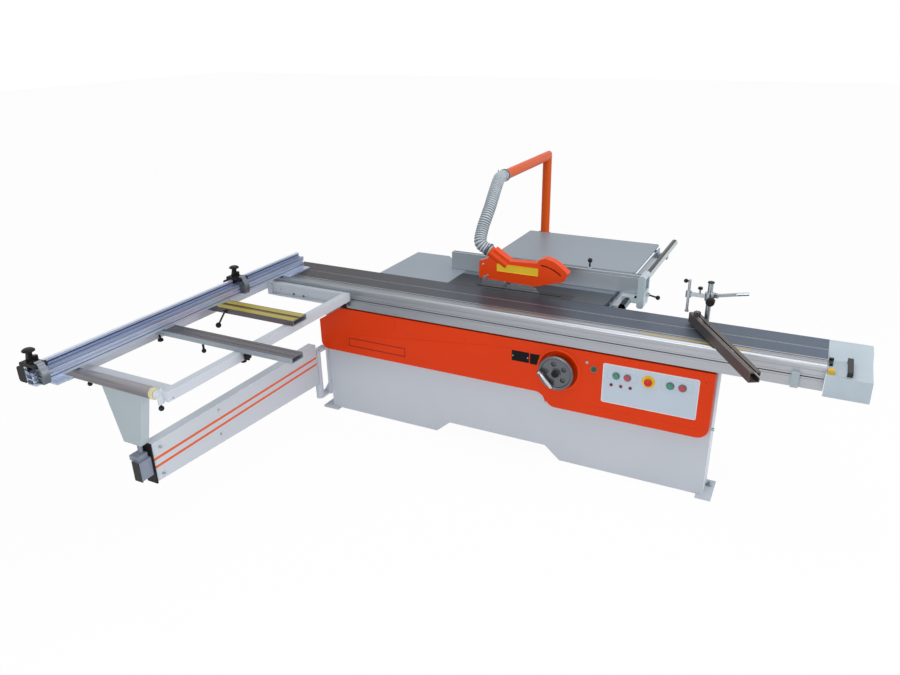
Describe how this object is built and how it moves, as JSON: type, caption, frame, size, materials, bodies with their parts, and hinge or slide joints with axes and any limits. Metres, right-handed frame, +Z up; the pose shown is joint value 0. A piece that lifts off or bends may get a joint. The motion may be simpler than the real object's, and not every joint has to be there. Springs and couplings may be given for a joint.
{
  "type": "sliding table saw",
  "caption": "Sliding table saw: orange-fronted base, long aluminium carriage with outrigger frame on a swing arm, crosscut and rip fences, hooded blade and dust duct",
  "frame": {"origin": "middle of the part's box, on the floor (the dust hose left out)", "axes": "+X along the carriage towards the operator's end, +Y away from the orange cover, +Z up"},
  "size_m": [3.4584, 3.61, 1.4796],
  "materials": {
    "white_paint": "fine textured powder coat",
    "orange_paint": "gloss powder coat",
    "grey_paint": "satin paint",
    "cast_iron": "ground top, painted underside",
    "aluminium": "anodised, satin",
    "dark_aluminium": "dark anodised, satin",
    "steel": "ground steel",
    "dark_steel": "black oxide",
    "black_plastic": "matte moulded",
    "white_plastic": "matte moulded",
    "yellow_plastic": "gloss moulded",
    "green_plastic": "gloss moulded",
    "red_plastic": "gloss moulded",
    "panel_print": "matt laminated panel",
    "hose_grey": "matte ribbed hose"
  },
  "bodies": {
    "base": {"rail_cabinet": "white_paint", "saw_cabinet": "white_paint", "base_bolts": "steel", "front_cover": "orange_paint", "control_panel": "panel_print", "panel_trim": "dark_steel", "rail_beam": "aluminium", "main_table": "cast_iron", "table_insert": "aluminium", "left_extension": "grey_paint", "rear_extension": "grey_paint", "guide_bar": "steel", "edge_rail": "dark_aluminium", "hinge_bracket": "white_paint", "dust_pipe": "orange_paint", "dust_hose": "hose_grey"},
    "handwheel": {"handwheel": "dark_steel"},
    "crank": {"crank_handle": "black_plastic"},
    "start_button": {"start_button": "green_plastic"},
    "green_a": {"button_green_a": "green_plastic"},
    "red_a": {"button_red_a": "red_plastic"},
    "green_b": {"button_green_b": "green_plastic"},
    "red_b": {"button_red_b": "red_plastic"},
    "estop": {"estop_mushroom": "red_plastic"},
    "tilt_frame": {"trunnion_frame": "cast_iron", "riving_knife": "steel"},
    "hood": {"guard_hood": "orange_paint"},
    "lift": {"motor_carriage": "cast_iron"},
    "arbor": {"arbor": "steel", "saw_blade": "steel"},
    "motor_shaft": {"motor_pulley": "steel"},
    "scorer": {"scoring_blade": "steel"},
    "cage": {"roller_cage": "steel"},
    "carriage": {"carriage_profile": "aluminium", "scale_strips": "yellow_plastic", "end_cap": "white_plastic", "clamp_hardware": "black_plastic", "side_bars": "white_paint", "frame_ends": "white_paint", "cross_bars": "dark_aluminium", "support_leg": "white_paint", "clamp_column": "steel"},
    "cap_button": {"yellow_button": "yellow_plastic"},
    "latch": {"cap_latch": "black_plastic"},
    "roller": {"outer_roller": "steel"},
    "bar_lever": {"bar_lever": "black_plastic"},
    "crosscut": {"crosscut_fence": "aluminium"},
    "stop_near": {"stop_near": "dark_steel"},
    "finger_near": {"stop_near_finger": "dark_steel"},
    "stop_far": {"stop_far": "dark_steel"},
    "finger_far": {"stop_far_finger": "dark_steel"},
    "mitre": {"mitre_bar": "dark_aluminium"},
    "clamp_arm": {"clamp_arm": "steel"},
    "clamp_lever": {"clamp_lever": "steel"},
    "arm": {"swing_arm": "white_paint", "arm_guides": "black_plastic"},
    "arm_tube": {"arm_tube": "white_paint"},
    "rip_head": {"fence_head": "grey_paint"},
    "head_lever": {"head_lever": "black_plastic"},
    "rip_fence": {"rip_fence": "aluminium"}
  },
  "joints": [
    {"name": "carriage_slide", "type": "slide", "parent": "base", "child": "carriage", "axis": [1, 0, 0], "range_m": [-1.64, 1.55]},
    {"name": "cage_roll", "type": "slide", "parent": "base", "child": "cage", "axis": [1, 0, 0], "range_m": [-0.821, 0.776]},
    {"name": "arm_swing", "type": "hinge", "parent": "base", "child": "arm", "pos_m": [-1.32975, -0.141, 0.27], "axis": [0, 0, 1], "range_deg": [-55, 55]},
    {"name": "arm_extend", "type": "slide", "parent": "arm", "child": "arm_tube", "axis": [0, -1, 0], "range_m": [0, 0.72]},
    {"name": "blade_tilt", "type": "hinge", "parent": "base", "child": "tilt_frame", "pos_m": [-0.10775, 0.285, 0.88], "axis": [-1, 0, 0], "range_deg": [0, 45], "deforming": ["dust_hose"]},
    {"name": "blade_lift", "type": "slide", "parent": "tilt_frame", "child": "lift", "axis": [0, 0, -1], "range_m": [0, 0.06]},
    {"name": "wheel_turn", "type": "hinge", "parent": "base", "child": "handwheel", "pos_m": [0.26125, -0.136, 0.6], "axis": [0, -1, 0], "range_deg": [-1, 1081]},
    {"name": "crank_fold", "type": "hinge", "parent": "handwheel", "child": "crank", "pos_m": [0.17525, -0.155, 0.597], "axis": [-0.7447, 0, -0.6674], "range_deg": [0, 90]},
    {"name": "start_press", "type": "slide", "parent": "base", "child": "start_button", "axis": [0, 1, 0], "range_m": [0, 0.004], "stiffness_N_per_m": 500},
    {"name": "green_a_press", "type": "slide", "parent": "base", "child": "green_a", "axis": [0, 1, 0], "range_m": [0, 0.004], "stiffness_N_per_m": 500},
    {"name": "red_a_press", "type": "slide", "parent": "base", "child": "red_a", "axis": [0, 1, 0], "range_m": [0, 0.004], "stiffness_N_per_m": 500},
    {"name": "green_b_press", "type": "slide", "parent": "base", "child": "green_b", "axis": [0, 1, 0], "range_m": [0, 0.004], "stiffness_N_per_m": 500},
    {"name": "red_b_press", "type": "slide", "parent": "base", "child": "red_b", "axis": [0, 1, 0], "range_m": [0, 0.004], "stiffness_N_per_m": 500},
    {"name": "estop_press", "type": "slide", "parent": "base", "child": "estop", "axis": [0, 1, 0], "range_m": [0, 0.005], "stiffness_N_per_m": 500},
    {"name": "blade_spin", "type": "hinge", "parent": "lift", "child": "arbor", "pos_m": [-0.10775, 0.285, 0.79], "axis": [0, 1, 0], "continuous": true},
    {"name": "motor_spin", "type": "hinge", "parent": "lift", "child": "motor_shaft", "pos_m": [-0.27775, 0.525, 0.64], "axis": [0, 1, 0], "continuous": true},
    {"name": "scorer_spin", "type": "hinge", "parent": "tilt_frame", "child": "scorer", "pos_m": [0.10525, 0.285, 0.817], "axis": [0, 1, 0], "continuous": true},
    {"name": "hood_swing", "type": "hinge", "parent": "tilt_frame", "child": "hood", "pos_m": [-0.33275, 0.285, 0.949], "axis": [0, -1, 0], "range_deg": [0, 20], "deforming": ["dust_hose"]},
    {"name": "cap_button_press", "type": "slide", "parent": "carriage", "child": "cap_button", "axis": [0, 0, -1], "range_m": [0, 0.004], "stiffness_N_per_m": 500},
    {"name": "latch_turn", "type": "hinge", "parent": "carriage", "child": "latch", "pos_m": [1.55425, 0.032, 0.86], "axis": [0, 0, 1], "range_deg": [0, 80]},
    {"name": "roller_spin", "type": "hinge", "parent": "carriage", "child": "roller", "pos_m": [-1.40075, -1.578, 0.852], "axis": [1, 0, 0], "continuous": true},
    {"name": "bar_lever_turn", "type": "hinge", "parent": "carriage", "child": "bar_lever", "pos_m": [-1.51925, -0.691, 0.865], "axis": [0, 1, 0], "range_deg": [0, 45]},
    {"name": "fence_swivel", "type": "hinge", "parent": "carriage", "child": "crosscut", "pos_m": [-1.61275, -0.028, 0.884], "axis": [0, 0, 1], "range_deg": [0, 45]},
    {"name": "stop_near_slide", "type": "slide", "parent": "crosscut", "child": "stop_near", "axis": [0, 1, 0], "range_m": [0, 0.85]},
    {"name": "stop_near_flip", "type": "hinge", "parent": "stop_near", "child": "finger_near", "pos_m": [-1.57125, -1.774, 0.984], "axis": [0, -1, 0], "range_deg": [0, 100]},
    {"name": "stop_far_slide", "type": "slide", "parent": "crosscut", "child": "stop_far", "axis": [0, 1, 0], "range_m": [-0.25, 0.45]},
    {"name": "stop_far_flip", "type": "hinge", "parent": "stop_far", "child": "finger_far", "pos_m": [-1.57125, -0.456, 0.984], "axis": [0, -1, 0], "range_deg": [0, 100]},
    {"name": "mitre_swivel", "type": "hinge", "parent": "carriage", "child": "mitre", "pos_m": [0.91225, 0.154, 0.884], "axis": [0, 0, 1], "range_deg": [-30, 30]},
    {"name": "clamp_height", "type": "slide", "parent": "carriage", "child": "clamp_arm", "axis": [0, 0, 1], "range_m": [-0.05, 0.03]},
    {"name": "clamp_lever_turn", "type": "hinge", "parent": "clamp_arm", "child": "clamp_lever", "pos_m": [0.99425, 0.18, 1.048], "axis": [0, -1, 0], "range_deg": [0, 60]},
    {"name": "rip_head_slide", "type": "slide", "parent": "base", "child": "rip_head", "axis": [0, 1, 0], "range_m": [-0.05, 1]},
    {"name": "rip_fence_slide", "type": "slide", "parent": "rip_head", "child": "rip_fence", "axis": [1, 0, 0], "range_m": [-0.25, 0]},
    {"name": "head_lever_turn", "type": "hinge", "parent": "rip_head", "child": "head_lever", "pos_m": [0.58425, 0.508, 0.886], "axis": [0, -1, 0], "range_deg": [0, 60]}
  ],
  "couplings": [
    {"joint": "cage_roll", "follows": "carriage_slide", "ratio": 0.5},
    {"joint": "arm_swing", "follows": "carriage_slide", "rad_per_m": 0.57},
    {"joint": "wheel_turn", "follows": "blade_lift", "rad_per_m": 314.16},
    {"joint": "motor_spin", "follows": "blade_spin", "ratio": 0.73913}
  ]
}
